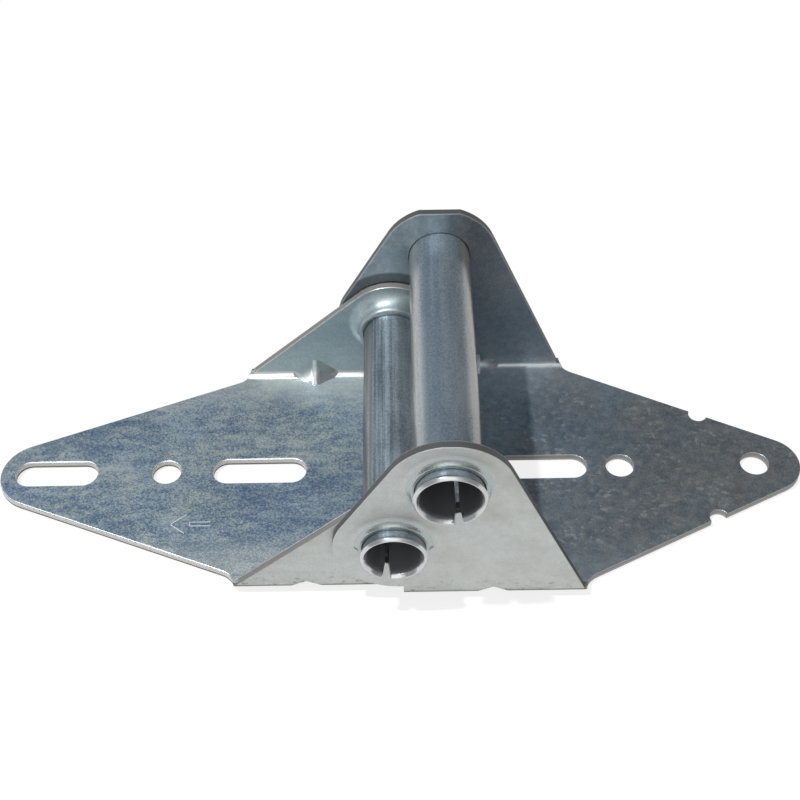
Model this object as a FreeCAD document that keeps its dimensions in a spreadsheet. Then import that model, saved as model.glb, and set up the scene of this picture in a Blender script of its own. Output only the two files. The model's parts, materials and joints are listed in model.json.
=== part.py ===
import FreeCAD, Part
import math
import os
import types
import Sketcher

# Garage door hinge: two folded steel leaves that turn on one rolled tube, and a second tube
# that carries the stem of a track roller.
# Millimetres and degrees. X runs along the hinge towards the tip of the roller leaf, Y along the
# tubes, Z up from the door. The origin is on the door's surface, midway between the leaf tips.

SIZES = {
    # sheet that both leaves are folded from
    "sheet_thickness": 1.9,
    "bend_radius": 1.6,
    "overall_width": 71.2,
    "ear_gap": 0.3,
    "plate_gap": 0.8,
    # plates of the two leaves
    "roller_reach": 95.0,
    "roller_tip_radius": 8.0,
    "roller_taper": 26.8,
    "roller_foot": 40.2,
    "roller_foot_fillet": 5.0,
    "pivot_reach": 95.0,
    "pivot_tip_radius": 9.5,
    "pivot_taper": 22.4,
    "pivot_foot": 36.7,
    "pivot_foot_fillet": 5.0,
    "foot_height": 2.5,
    "foot_ledge": 0.5,
    # holes in the plates, each measured from the last, starting at the tip
    "hole_diameter": 6.7,
    "slot_width": 7.0,
    "roller_end_margin": 10.8,
    "roller_hole_step": 32.0,
    "roller_slot_step": 18.8,
    "roller_slot_length": 22.0,
    "notch_margin": 21.8,
    "notch_radius": 2.2,
    "pivot_end_margin": 13.4,
    "pivot_end_slot_length": 19.4,
    "pivot_hole_step": 26.1,
    "pivot_slot_step": 22.1,
    "pivot_slot_length": 22.0,
    # tube axes
    "hinge_axis_offset": 1.6,
    "hinge_axis_height": 19.8,
    "roller_axis_shift": 11.5,
    "roller_axis_rise": 19.0,
    # outlines of the ears
    "ear_round": 13.5,
    "ear_flat_drop": 0.85,
    "front_round_drop": 1.3,
    "front_flat_drop": 0.1,
    "ear_low_round": 14.2,
    "ear_low_shift": 1.2,
    "ear_low_drop": 1.1,
    "pivot_corner_height": 4.3,
    "pivot_round": 11.35,
    # tubes
    "roller_tube_diameter": 14.2,
    "hinge_tube_diameter": 13.3,
    "tube_wall": 0.95,
    "flare_radius": 1.6,
    "flare_angle": 50.0,
    "flare_clearance": 1.0,
    "seam_gap": 0.8,
    "seam_split_width": 2.0,
    "seam_split_length": 4.0,
    "roller_seam_angle": -15.0,
    "hinge_seam_angle": 15.0,
    # collars drawn round the tube holes
    "seat_clearance": 0.1,
    "running_clearance": 0.2,
    "collar_height": 1.2,
    "collar_wall": 0.6,
    "collar_fillet": 2.6,
    "hinge_collar_span": 190.0,
    "sleeve_length": 4.5,
    "sleeve_wall": 0.8,
    "sleeve_fillet": 3.0,
    # gussets pressed into the bends
    "roller_gusset": 20.0,
    "roller_gusset_reach": 5.3,
    "pivot_gusset": 21.0,
    "pivot_gusset_reach": 6.1,
    "gusset_lean": 53.0,
    "gusset_half_width": 6.5,
    "gusset_nose": 2.0,
    "dent_half_width": 5.0,
    "dent_reach": 2.4,
    # how far cutting outlines pass the sheet
    "cut_margin": 5.0,
}

SHEET_NAME = "Sizes"
ORIGIN_POINT = (-1, 1)
V_AXIS, H_AXIS = range(-2, 0)
WHOLE, START, END, CENTRE = range(4)
SAME_PLACE = 1e-4


class Size:
    """A number together with the spreadsheet expression that gives it."""

    def __init__(self, value, text):
        self.value = value
        self.text = text

    def joined(self, sign, other, value):
        return Size(value, f"({self.text} {sign} {other.text})")

    def __add__(self, other):
        other = as_size(other)
        return self.joined("+", other, self.value + other.value)

    def __sub__(self, other):
        other = as_size(other)
        return self.joined("-", other, self.value - other.value)

    def __mul__(self, other):
        other = as_size(other)
        return self.joined("*", other, self.value * other.value)

    def __truediv__(self, other):
        other = as_size(other)
        return self.joined("/", other, self.value / other.value)

    def __neg__(self):
        return Size(-self.value, f"(-1 * {self.text})")

    def sine(self):
        return Size(math.sin(math.radians(self.value)), f"sin({self.text} * 1 deg)")

    def cosine(self):
        return Size(math.cos(math.radians(self.value)), f"cos({self.text} * 1 deg)")


def as_size(item):
    return item if isinstance(item, Size) else Size(float(item), str(float(item)))


ZERO = as_size(0)

doc = FreeCAD.newDocument("garage_door_hinge")
sheet = doc.addObject("Spreadsheet::Sheet", SHEET_NAME)
for row, (alias, number) in enumerate(SIZES.items(), 1):
    sheet.set(f"A{row}", alias)
    sheet.set(f"B{row}", str(number))
    sheet.setAlias(f"B{row}", alias)
doc.recompute()
dim = types.SimpleNamespace(**{
    alias: Size(number, f"{SHEET_NAME}.{alias}") for alias, number in SIZES.items()
})

# sizes that follow from the driving ones
bend_outer = dim.bend_radius + dim.sheet_thickness
roller_half = dim.overall_width / 2
pivot_half = roller_half - dim.sheet_thickness - dim.ear_gap
hinge_x = -dim.hinge_axis_offset
hinge_z = dim.hinge_axis_height
roller_x = hinge_x + dim.roller_axis_shift
roller_z = hinge_z + dim.roller_axis_rise
hinge_radius = dim.hinge_tube_diameter / 2
roller_radius = dim.roller_tube_diameter / 2
hinge_seat = hinge_radius + dim.seat_clearance
roller_seat = roller_radius + dim.seat_clearance
pivot_seat = hinge_radius + dim.running_clearance
ear_top = roller_z + dim.ear_round - dim.ear_flat_drop
ear_low_x = hinge_x + dim.ear_low_shift
ear_low_z = hinge_z - dim.ear_low_drop
plate_edge = dim.plate_gap / 2
roller_end_hole = dim.roller_reach - dim.roller_end_margin
roller_hole = roller_end_hole - dim.roller_hole_step
roller_slot = roller_hole - dim.roller_slot_step
notch_x = dim.roller_reach - dim.notch_margin
pivot_end_slot = dim.pivot_reach - dim.pivot_end_margin
pivot_hole = pivot_end_slot - dim.pivot_hole_step
pivot_slot = pivot_hole - dim.pivot_slot_step


def flat(point):
    return FreeCAD.Vector(point[0], point[1], 0)


def bearing(centre, point):
    return math.atan2(point[1] - centre[1], point[0] - centre[0])


def on_circle(centre, radius, angle):
    return (centre[0] + radius * math.cos(angle), centre[1] + radius * math.sin(angle))


def plane_of(body, role):
    return next(item for item in body.Origin.OriginFeatures if item.Role == role)


def new_body(label):
    body = doc.addObject("PartDesign::Body", label)
    body.Label = label
    return body


def new_sketch(body, role, name, **offset):
    """Sketch on one of the body's own planes, moved by named sizes along its own axes."""
    sketch = body.newObject("Sketcher::SketchObject", name)
    sketch.AttachmentSupport = [(plane_of(body, role), "")]
    sketch.MapMode = "FlatFace"
    for axis, amount in offset.items():
        sketch.setExpression(f"AttachmentOffset.Base.{axis}", amount.text)
    return sketch


def draw(sketch, pieces, smooth=()):
    """Draw a closed chain of ("line", start, end) and ("arc", centre, start, end, turn) pieces.

    The joint after each piece listed in smooth is tangent. Returns the pieces' numbers.
    """
    numbers = []
    ends = []
    for piece in pieces:
        if piece[0] == "line":
            shape = Part.LineSegment(flat(piece[1]), flat(piece[2]))
            ends.append((START, END))
        else:
            centre, start, end, turn = piece[1:]
            first, last = (start, end) if turn > 0 else (end, start)
            circle = Part.Circle(flat(centre), FreeCAD.Vector(0, 0, 1), math.dist(centre, start))
            shape = Part.ArcOfCircle(circle, bearing(centre, first), bearing(centre, last))
            ends.append((START, END) if turn > 0 else (END, START))
        numbers.append(sketch.addGeometry(shape, False))
    for place, number in enumerate(numbers):
        after = (place + 1) % len(numbers)
        kind = "Tangent" if place in smooth else "Coincident"
        joint = Sketcher.Constraint(kind, number, ends[place][1], numbers[after], ends[after][0])
        sketch.addConstraint(joint)
    return numbers


def constrain(sketch, kind, *numbers):
    for number in numbers:
        sketch.addConstraint(Sketcher.Constraint(kind, number))


def bind(sketch, kind, *where, size):
    index = sketch.addConstraint(Sketcher.Constraint(kind, *where, size.value))
    sketch.setExpression(f"Constraints[{index}]", size.text)


def bind_angle(sketch, number, size):
    index = sketch.addConstraint(Sketcher.Constraint("Angle", number, math.radians(size.value)))
    sketch.setExpression(f"Constraints[{index}]", f"{size.text} * 1 deg")


def pin(sketch, number, place, x=None, y=None):
    """Hold a point of a piece at named distances from the sketch's origin."""
    for kind, axis, amount in (("DistanceX", V_AXIS, x), ("DistanceY", H_AXIS, y)):
        if amount is ZERO:
            sketch.addConstraint(Sketcher.Constraint("PointOnObject", number, place, axis))
        elif amount is not None:
            bind(sketch, kind, *ORIGIN_POINT, number, place, size=amount)


def draw_box(sketch, left, bottom, right, top):
    corners = [(left, bottom), (right, bottom), (right, top), (left, top)]
    points = [(x.value, y.value) for x, y in corners]
    sides = draw(sketch, [("line", points[i], points[(i + 1) % 4]) for i in range(4)])
    constrain(sketch, "Horizontal", sides[0], sides[2])
    constrain(sketch, "Vertical", sides[1], sides[3])
    pin(sketch, sides[0], START, left, bottom)
    pin(sketch, sides[2], START, right, top)


def draw_circle(sketch, x, y, radius):
    circle = Part.Circle(flat((x.value, y.value)), FreeCAD.Vector(0, 0, 1), radius.value)
    number = sketch.addGeometry(circle, False)
    pin(sketch, number, CENTRE, x, y)
    bind(sketch, "Radius", number, size=radius)


def draw_slot(sketch, x, length, width):
    half = width / 2
    left = x - (length - width) / 2
    right = x + (length - width) / 2
    low, high = -half.value, half.value
    numbers = draw(sketch, [
        ("line", (left.value, low), (right.value, low)),
        ("arc", (right.value, 0), (right.value, low), (right.value, high), 1),
        ("line", (right.value, high), (left.value, high)),
        ("arc", (left.value, 0), (left.value, high), (left.value, low), 1),
    ], smooth=(0, 1, 2, 3))
    for number, centre in ((numbers[1], right), (numbers[3], left)):
        pin(sketch, number, CENTRE, centre, ZERO)
        bind(sketch, "Radius", number, size=half)


def pad(body, sketch, name, length):
    feature = body.newObject("PartDesign::Pad", name)
    feature.Profile = sketch
    feature.setExpression("Length", length.text)
    return finish(body, feature)


def cut_through(body, sketch, name, both_ways=True, reverse=False):
    feature = body.newObject("PartDesign::Pocket", name)
    feature.Profile = sketch
    feature.Type = "ThroughAll"
    feature.SideType = "Symmetric" if both_ways else "One side"
    feature.Reversed = reverse
    return finish(body, feature)


def revolve(body, sketch, name, angle, kind="Revolution"):
    """Turn a profile about the sketch's horizontal axis, evenly to both sides of its plane."""
    feature = body.newObject(f"PartDesign::{kind}", name)
    feature.Profile = sketch
    feature.ReferenceAxis = (sketch, ["H_Axis"])
    feature.Midplane = True
    feature.setExpression("Angle", f"{angle.text} * 1 deg")
    return finish(body, feature)


def mirror_across_middle(body, *features):
    """Repeat features on the other side of the hinge's middle plane."""
    for feature in features:
        copy = body.newObject("PartDesign::Mirrored", feature.Name + "Mirror")
        copy.Originals = [feature]
        copy.MirrorPlane = (plane_of(body, "XZ_Plane"), [""])
        finish(body, copy)


def finish(body, feature):
    """Recompute, and stop if a feature failed or left the solid as it was."""
    before = body.Tip.Shape.Volume if body.Tip is not None and not body.Tip.Shape.isNull() else 0.0
    previous = getattr(feature, "BaseFeature", None)
    if previous is not None:
        before = previous.Shape.Volume
    body.Tip = feature
    doc.recompute()
    if not feature.isValid() or abs(feature.Shape.Volume - before) < 1e-6:
        raise RuntimeError(f"{body.Label}: {feature.Name} changed nothing or failed: {feature.State}")
    return feature


def fold_channel(body, half, height, left, right):
    """Sheet folded to a channel: a plate with an ear along each side."""
    sketch = new_sketch(body, "YZ_Plane", "ChannelSection", z=left)
    thick, outer = dim.sheet_thickness.value, bend_outer.value
    wide, high = half.value, height.value
    bend_y = half - bend_outer
    bend = bend_y.value
    numbers = draw(sketch, [
        ("line", (-bend, 0), (bend, 0)),
        ("arc", (bend, outer), (bend, 0), (wide, outer), 1),
        ("line", (wide, outer), (wide, high)),
        ("line", (wide, high), (wide - thick, high)),
        ("line", (wide - thick, high), (wide - thick, outer)),
        ("arc", (bend, outer), (wide - thick, outer), (bend, thick), -1),
        ("line", (bend, thick), (-bend, thick)),
        ("arc", (-bend, outer), (-bend, thick), (thick - wide, outer), -1),
        ("line", (thick - wide, outer), (thick - wide, high)),
        ("line", (thick - wide, high), (-wide, high)),
        ("line", (-wide, high), (-wide, outer)),
        ("arc", (-bend, outer), (-wide, outer), (-bend, 0), 1),
    ], smooth=(0, 1, 4, 5, 6, 7, 10, 11))
    for place, y, radius in ((1, bend_y, bend_outer), (5, bend_y, dim.bend_radius),
                             (7, -bend_y, dim.bend_radius), (11, -bend_y, bend_outer)):
        pin(sketch, numbers[place], CENTRE, y, bend_outer)
        bind(sketch, "Radius", numbers[place], size=radius)
    constrain(sketch, "Vertical", numbers[2], numbers[4], numbers[8], numbers[10])
    constrain(sketch, "Horizontal", numbers[3], numbers[9])
    pin(sketch, numbers[3], START, y=height)
    pin(sketch, numbers[9], START, y=height)
    pad(body, sketch, "Channel", right - left)


def taper_plate(body, reach, tip_radius, taper, foot, fillet):
    """Cut the plate beyond the ears to straight tapered sides and a rounded tip."""
    sketch = new_sketch(body, "XY_Plane", "PlateSide")
    side = roller_half + dim.cut_margin
    tip_x = reach - tip_radius
    slope = math.radians(taper.value)
    tip_centre = (tip_x.value, 0)
    tangent = on_circle(tip_centre, tip_radius.value, math.pi / 2 - slope)
    normal = (math.sin(slope), math.cos(slope))
    level = normal[0] * tangent[0] + normal[1] * tangent[1]
    fillet_x = foot.value + fillet.value
    fillet_centre = (fillet_x, (level + fillet.value - normal[0] * fillet_x) / normal[1])
    fillet_end = on_circle(fillet_centre, fillet.value, -math.pi / 2 - slope)
    beyond = (reach + dim.cut_margin).value
    numbers = draw(sketch, [
        ("line", (foot.value, side.value), (foot.value, fillet_centre[1])),
        ("arc", fillet_centre, (foot.value, fillet_centre[1]), fillet_end, 1),
        ("line", fillet_end, tangent),
        ("arc", tip_centre, tangent, (reach.value, 0), -1),
        ("line", (reach.value, 0), (beyond, 0)),
        ("line", (beyond, 0), (beyond, side.value)),
        ("line", (beyond, side.value), (foot.value, side.value)),
    ], smooth=(0, 1, 2))
    constrain(sketch, "Vertical", numbers[0], numbers[5])
    constrain(sketch, "Horizontal", numbers[4], numbers[6])
    pin(sketch, numbers[0], START, foot, side)
    bind(sketch, "Radius", numbers[1], size=fillet)
    bind_angle(sketch, numbers[2], -taper)
    pin(sketch, numbers[3], CENTRE, tip_x, ZERO)
    bind(sketch, "Radius", numbers[3], size=tip_radius)
    pin(sketch, numbers[3], START, y=ZERO)
    pin(sketch, numbers[4], END, x=reach + dim.cut_margin)
    mirror_across_middle(body, cut_through(body, sketch, "PlateTaper"))


def far_tangent(point, centre, radius, side):
    """Point where a line from point touches a circle, on the side turned by the given sign."""
    spread = math.acos(radius / math.dist(point, centre))
    return on_circle(centre, radius, bearing(centre, point) + side * spread)


def pin_ear_frame(sketch, numbers, reach, foot):
    """Hold the straight runs round an ear: under the plate, past its tip and at the ear's foot."""
    constrain(sketch, "Horizontal", numbers[0], numbers[2])
    constrain(sketch, "Vertical", numbers[1], numbers[-1])
    pin(sketch, numbers[0], START, plate_edge, -dim.cut_margin)
    pin(sketch, numbers[0], END, x=reach + dim.cut_margin)
    pin(sketch, numbers[3], START, foot, dim.foot_height)


def ear_frame_points(reach, foot):
    below = -dim.cut_margin.value
    beyond = (reach + dim.cut_margin).value
    return {
        "under_edge": (plate_edge.value, below),
        "under_tip": (beyond, below),
        "past_tip": (beyond, dim.foot_height.value),
        "foot": (foot.value, dim.foot_height.value),
    }


def trim_roller_ear(body, name, round_z, flat_drop, in_front):
    """One ear of the roller leaf: round over both tubes, with a short flat at the top."""
    sketch = new_sketch(body, "XZ_Plane", name + "Outline")
    reach, foot = dim.roller_reach, dim.roller_foot
    at = ear_frame_points(reach, foot)
    top = round_z + dim.ear_round - flat_drop
    high, low = (roller_x.value, round_z.value), (ear_low_x.value, ear_low_z.value)
    big, small = dim.ear_round.value, dim.ear_low_round.value
    right = far_tangent(at["foot"], high, big, 1)
    corner = (plate_edge.value, low[1] - math.sqrt(small ** 2 - (plate_edge.value - low[0]) ** 2))
    flat_half = math.sqrt(big ** 2 - (big - flat_drop.value) ** 2)
    flat_right = (high[0] + flat_half, top.value)
    flat_left = (high[0] - flat_half, top.value)
    lean = math.asin((small - big) / math.dist(high, low))
    side = bearing(low, high) + math.pi / 2 - lean
    numbers = draw(sketch, [
        ("line", at["under_edge"], at["under_tip"]),
        ("line", at["under_tip"], at["past_tip"]),
        ("line", at["past_tip"], at["foot"]),
        ("line", at["foot"], right),
        ("arc", high, right, flat_right, 1),
        ("line", flat_right, flat_left),
        ("arc", high, flat_left, on_circle(high, big, side), 1),
        ("line", on_circle(high, big, side), on_circle(low, small, side)),
        ("arc", low, on_circle(low, small, side), corner, 1),
        ("line", corner, at["under_edge"]),
    ], smooth=(3, 6, 7))
    pin_ear_frame(sketch, numbers, reach, foot)
    for place, x, z, radius in (
            (4, roller_x, round_z, dim.ear_round),
            (6, roller_x, round_z, dim.ear_round),
            (8, ear_low_x, ear_low_z, dim.ear_low_round)):
        pin(sketch, numbers[place], CENTRE, x, z)
        bind(sketch, "Radius", numbers[place], size=radius)
    constrain(sketch, "Horizontal", numbers[5])
    pin(sketch, numbers[5], START, y=top)
    surround(sketch, roller_left, reach, ear_top)
    cut_through(body, sketch, name + "Trim", both_ways=False, reverse=in_front)


def trim_pivot_ears(body):
    """Ears of the pivot leaf: one slope up from the plate and round over the hinge tube."""
    sketch = new_sketch(body, "XZ_Plane", "EarOutline")
    reach, foot = dim.pivot_reach, dim.pivot_foot
    at = ear_frame_points(reach, foot)
    corner = (plate_edge.value, dim.pivot_corner_height.value)
    centre, radius = (-hinge_x.value, hinge_z.value), dim.pivot_round.value
    right = far_tangent(at["foot"], centre, radius, 1)
    left = far_tangent(corner, centre, radius, -1)
    numbers = draw(sketch, [
        ("line", at["under_edge"], at["under_tip"]),
        ("line", at["under_tip"], at["past_tip"]),
        ("line", at["past_tip"], at["foot"]),
        ("line", at["foot"], right),
        ("arc", centre, right, left, 1),
        ("line", left, corner),
        ("line", corner, at["under_edge"]),
    ], smooth=(3, 4))
    pin_ear_frame(sketch, numbers, reach, foot)
    pin(sketch, numbers[-1], START, y=dim.pivot_corner_height)
    pin(sketch, numbers[4], CENTRE, -hinge_x, hinge_z)
    bind(sketch, "Radius", numbers[4], size=dim.pivot_round)
    surround(sketch, pivot_left, reach, pivot_top)
    cut_through(body, sketch, "EarTrim")


def surround(sketch, left, reach, top):
    """Outer frame of a trimming outline, past the sheet on every side."""
    margin = dim.cut_margin * 2
    draw_box(sketch, left - margin, -margin, reach + margin, top + margin)


def collar_sketch(body, name, x, z, seat):
    """Profile of a low collar drawn outwards from the roller leaf's ear, hollow towards the face."""
    sketch = new_sketch(body, "YZ_Plane", name, y=z, z=x)
    root = roller_half - dim.sheet_thickness / 2
    end = roller_half + dim.collar_height
    rim = seat + dim.collar_wall
    face, fillet = roller_half.value, dim.collar_fillet.value
    spread = math.sqrt(fillet ** 2 - (fillet - dim.collar_height.value) ** 2)
    base = rim.value + spread
    numbers = draw(sketch, [
        ("line", (root.value, seat.value), (end.value, seat.value)),
        ("line", (end.value, seat.value), (end.value, rim.value)),
        ("arc", (face + fillet, base), (end.value, rim.value), (face, base), -1),
        ("line", (face, base), (root.value, base)),
        ("line", (root.value, base), (root.value, seat.value)),
    ])
    constrain(sketch, "Horizontal", numbers[0], numbers[3])
    constrain(sketch, "Vertical", numbers[1], numbers[4])
    pin(sketch, numbers[0], START, root, seat)
    pin(sketch, numbers[1], END, end, rim)
    bind(sketch, "Radius", numbers[2], size=dim.collar_fillet)
    pin(sketch, numbers[2], START, x=roller_half)
    sketch.addConstraint(Sketcher.Constraint("Horizontal", numbers[2], CENTRE, numbers[2], START))
    return sketch


def sleeve_sketch(body):
    """Profile of the longer collar drawn inwards from the pivot leaf's ear, which turns on the tube."""
    sketch = new_sketch(body, "YZ_Plane", "SleeveProfile", y=hinge_z, z=-hinge_x)
    root = pivot_half - dim.sheet_thickness / 2
    inner = pivot_half - dim.sheet_thickness
    end = inner - dim.sleeve_length
    rim = pivot_seat + dim.sleeve_wall
    base = rim + dim.sleeve_fillet
    curve = inner - dim.sleeve_fillet
    numbers = draw(sketch, [
        ("line", (root.value, pivot_seat.value), (root.value, base.value)),
        ("line", (root.value, base.value), (inner.value, base.value)),
        ("arc", (curve.value, base.value), (inner.value, base.value), (curve.value, rim.value), -1),
        ("line", (curve.value, rim.value), (end.value, rim.value)),
        ("line", (end.value, rim.value), (end.value, pivot_seat.value)),
        ("line", (end.value, pivot_seat.value), (root.value, pivot_seat.value)),
    ], smooth=(2,))
    constrain(sketch, "Vertical", numbers[0], numbers[4])
    constrain(sketch, "Horizontal", numbers[1], numbers[3], numbers[5])
    pin(sketch, numbers[0], START, root, pivot_seat)
    pin(sketch, numbers[3], END, x=end)
    pin(sketch, numbers[2], CENTRE, curve, base)
    bind(sketch, "Radius", numbers[2], size=dim.sleeve_fillet)
    return sketch


def draw_wedge(sketch, half, corner, reach):
    """Right-angled section across a bend, its long side leaning at a set distance from the outer corner."""
    lean = dim.gusset_lean
    top = (reach - corner * lean.sine()) / lean.cosine()
    out = (reach - corner * lean.cosine()) / lean.sine()
    corners = [(half - corner, corner), (half - out, corner), (half - corner, top)]
    points = [(y.value, z.value) for y, z in corners]
    count = len(points)
    numbers = draw(sketch, [("line", points[i], points[(i + 1) % count]) for i in range(count)])
    for number, (y, z) in zip(numbers, corners):
        pin(sketch, number, START, y, z)


def loft(body, sections, name, kind):
    """Straight-sided form through several sections, added to the body or cut from it."""
    feature = body.newObject(f"PartDesign::{kind}", name)
    feature.Profile = sections[0]
    feature.Sections = sections[1:]
    feature.Ruled = True
    return finish(body, feature)


def round_ridges(body, x, radius):
    """Round the ridge lines, which are the edges that lie across the sheet at one place along it."""
    ridges = [f"Edge{number}" for number, edge in enumerate(body.Tip.Shape.Edges, 1)
              if all(abs(vertex.X - x.value) < SAME_PLACE for vertex in edge.Vertexes)]
    base = body.Tip
    feature = body.newObject("PartDesign::Fillet", "RidgeRound")
    feature.Base = (base, ridges)
    feature.setExpression("Radius", radius.text)
    return finish(body, feature)


def press_dart(body, name, kind, half, x, corner, foot, reach, width):
    """Dart that rises from its foot to its full reach and falls away again, across both bends."""
    sections = []
    for place, at, size in (("Start", x - width, foot), ("Ridge", x, reach), ("End", x + width, foot)):
        section = new_sketch(body, "YZ_Plane", name + place, z=at)
        draw_wedge(section, half, corner, size)
        sections.append(section)
    mirror_across_middle(body, loft(body, sections, name, kind))


def press_gusset(body, half, x, reach):
    """Dart pressed across each bend: a ridge on the inside and a shallower dent outside."""
    thick = dim.sheet_thickness
    sunk_corner, sunk_foot = thick * 3 / 4, bend_outer - thick / 3
    press_dart(body, "Gusset", "AdditiveLoft", half, x, sunk_corner, sunk_foot, reach, dim.gusset_half_width)
    round_ridges(body, x, dim.gusset_nose)
    clear_corner, clear_foot = -thick, thick / 2
    press_dart(body, "GussetDent", "SubtractiveLoft", half, x, clear_corner, clear_foot, dim.dent_reach,
               dim.dent_half_width)


def roller_leaf():
    """Outer leaf: its ears carry both tubes, its plate is drilled for the upper door section."""
    body = new_body("roller_leaf")
    fold_channel(body, roller_half, ear_top + dim.cut_margin, roller_left, dim.roller_reach)
    taper_plate(body, dim.roller_reach, dim.roller_tip_radius, dim.roller_taper,
                dim.roller_foot + dim.foot_ledge, dim.roller_foot_fillet)
    trim_roller_ear(body, "BackEar", roller_z, dim.ear_flat_drop, False)
    trim_roller_ear(body, "FrontEar", roller_z - dim.front_round_drop, dim.front_flat_drop, True)
    press_gusset(body, roller_half, dim.roller_gusset, dim.roller_gusset_reach)
    for name, x, z, seat, span in (("RollerCollar", roller_x, roller_z, roller_seat, as_size(360)),
                                   ("HingeCollar", hinge_x, hinge_z, hinge_seat, dim.hinge_collar_span)):
        profile = collar_sketch(body, name + "Profile", x, z, seat)
        mirror_across_middle(body, revolve(body, profile, name, span))
    bores = new_sketch(body, "XZ_Plane", "TubeBores")
    draw_circle(bores, roller_x, roller_z, roller_seat)
    draw_circle(bores, hinge_x, hinge_z, hinge_seat)
    cut_through(body, bores, "TubeHoles")
    holes = new_sketch(body, "XY_Plane", "PlateHolesOutline")
    draw_slot(holes, roller_slot, dim.roller_slot_length, dim.slot_width)
    draw_circle(holes, roller_hole, ZERO, dim.hole_diameter / 2)
    draw_circle(holes, roller_end_hole, ZERO, dim.hole_diameter / 2)
    edge_y = taper_half_width(notch_x, dim.roller_reach, dim.roller_tip_radius, dim.roller_taper)
    draw_circle(holes, notch_x, edge_y, dim.notch_radius)
    draw_circle(holes, notch_x, -edge_y, dim.notch_radius)
    cut_through(body, holes, "PlateHoles")
    return body


def taper_half_width(x, reach, tip_radius, taper):
    """Half the width of a tapered plate at x."""
    return (tip_radius + (reach - tip_radius - x) * taper.sine()) / taper.cosine()


def pivot_leaf():
    """Inner leaf: nests between the outer ears and turns on the hinge tube.

    It is drawn with its tip to +X and turned half round to face the other way.
    """
    body = new_body("pivot_leaf")
    fold_channel(body, pivot_half, pivot_top + dim.cut_margin, pivot_left, dim.pivot_reach)
    taper_plate(body, dim.pivot_reach, dim.pivot_tip_radius, dim.pivot_taper,
                dim.pivot_foot + dim.foot_ledge, dim.pivot_foot_fillet)
    trim_pivot_ears(body)
    press_gusset(body, pivot_half, dim.pivot_gusset, dim.pivot_gusset_reach)
    mirror_across_middle(body, revolve(body, sleeve_sketch(body), "Sleeve", as_size(360)))
    bores = new_sketch(body, "XZ_Plane", "TubeBores")
    draw_circle(bores, -hinge_x, hinge_z, pivot_seat)
    cut_through(body, bores, "TubeHoles")
    holes = new_sketch(body, "XY_Plane", "PlateHolesOutline")
    draw_slot(holes, pivot_slot, dim.pivot_slot_length, dim.slot_width)
    draw_slot(holes, pivot_end_slot, dim.pivot_end_slot_length, dim.slot_width)
    draw_circle(holes, pivot_hole, ZERO, dim.hole_diameter / 2)
    cut_through(body, holes, "PlateHoles")
    body.Placement = FreeCAD.Placement(FreeCAD.Vector(), FreeCAD.Rotation(FreeCAD.Vector(0, 0, 1), 180))
    return body


def tube(label, x, z, radius, seam_angle):
    """Rolled tube with an open seam underneath and lips flared over the collars at both ends."""
    body = new_body(label)
    wall, flare, angle = dim.tube_wall, dim.flare_radius, math.radians(dim.flare_angle.value)
    start = roller_half + dim.collar_height + dim.flare_clearance
    inside = radius - wall
    outer_r, inner_r = radius.value, inside.value
    far = start.value
    hub = outer_r + flare.value

    def lip(side, reach):
        turn = side * angle - math.pi / 2
        return on_circle((side * far, hub), reach, turn)

    bend, bend_in = flare.value, flare.value + wall.value
    profile = new_sketch(body, "YZ_Plane", "WallProfile")
    numbers = draw(profile, [
        ("line", (far, outer_r), (-far, outer_r)),
        ("arc", (-far, hub), (-far, outer_r), lip(-1, bend), -1),
        ("line", lip(-1, bend), lip(-1, bend_in)),
        ("arc", (-far, hub), lip(-1, bend_in), (-far, inner_r), 1),
        ("line", (-far, inner_r), (far, inner_r)),
        ("arc", (far, hub), (far, inner_r), lip(1, bend_in), 1),
        ("line", lip(1, bend_in), lip(1, bend)),
        ("arc", (far, hub), lip(1, bend), (far, outer_r), -1),
    ], smooth=(0, 3, 4, 7))
    for place, y, size in (
            (1, -start, flare), (3, -start, flare + wall), (5, start, flare + wall), (7, start, flare)):
        pin(profile, numbers[place], CENTRE, y, radius + flare)
        bind(profile, "Radius", numbers[place], size=size)
    quarter = as_size(90)
    for place, arc, turn in ((2, 1, -(dim.flare_angle + quarter)), (6, 7, dim.flare_angle + quarter)):
        constraint = Sketcher.Constraint("PointOnObject", numbers[arc], CENTRE, numbers[place])
        profile.addConstraint(constraint)
        bind_angle(profile, numbers[place], turn)
    revolve(body, profile, "Wall", as_size(360))
    reach = start + (flare + wall) * dim.flare_angle.sine()
    split = reach - dim.seam_split_length
    half_gap, half_split = dim.seam_gap / 2, dim.seam_split_width / 2
    end = reach + dim.cut_margin
    corners = [(-half_split, -end), (half_split, -end), (half_split, -reach), (half_gap, -split),
               (half_gap, split), (half_split, reach), (half_split, end), (-half_split, end),
               (-half_split, reach), (-half_gap, split), (-half_gap, -split), (-half_split, -reach)]
    seam = new_sketch(body, "XY_Plane", "SeamOutline")
    points = [(a.value, b.value) for a, b in corners]
    count = len(points)
    runs = draw(seam, [("line", points[i], points[(i + 1) % count]) for i in range(count)])
    for number, (a, b) in zip(runs, corners):
        pin(seam, number, START, a, b)
    cut_through(body, seam, "Seam", both_ways=False)
    axis = FreeCAD.Vector(0, 1, 0)
    body.Placement = FreeCAD.Placement(FreeCAD.Vector(), FreeCAD.Rotation(axis, seam_angle.value))
    body.setExpression("Placement.Rotation.Angle", f"{seam_angle.text} * 1 deg")
    body.setExpression("Placement.Base.x", x.text)
    body.setExpression("Placement.Base.z", z.text)
    return body


roller_left = ear_low_x - dim.ear_low_round - dim.cut_margin
pivot_left = -hinge_x - dim.pivot_round - dim.cut_margin
pivot_top = hinge_z + dim.pivot_round

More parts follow.
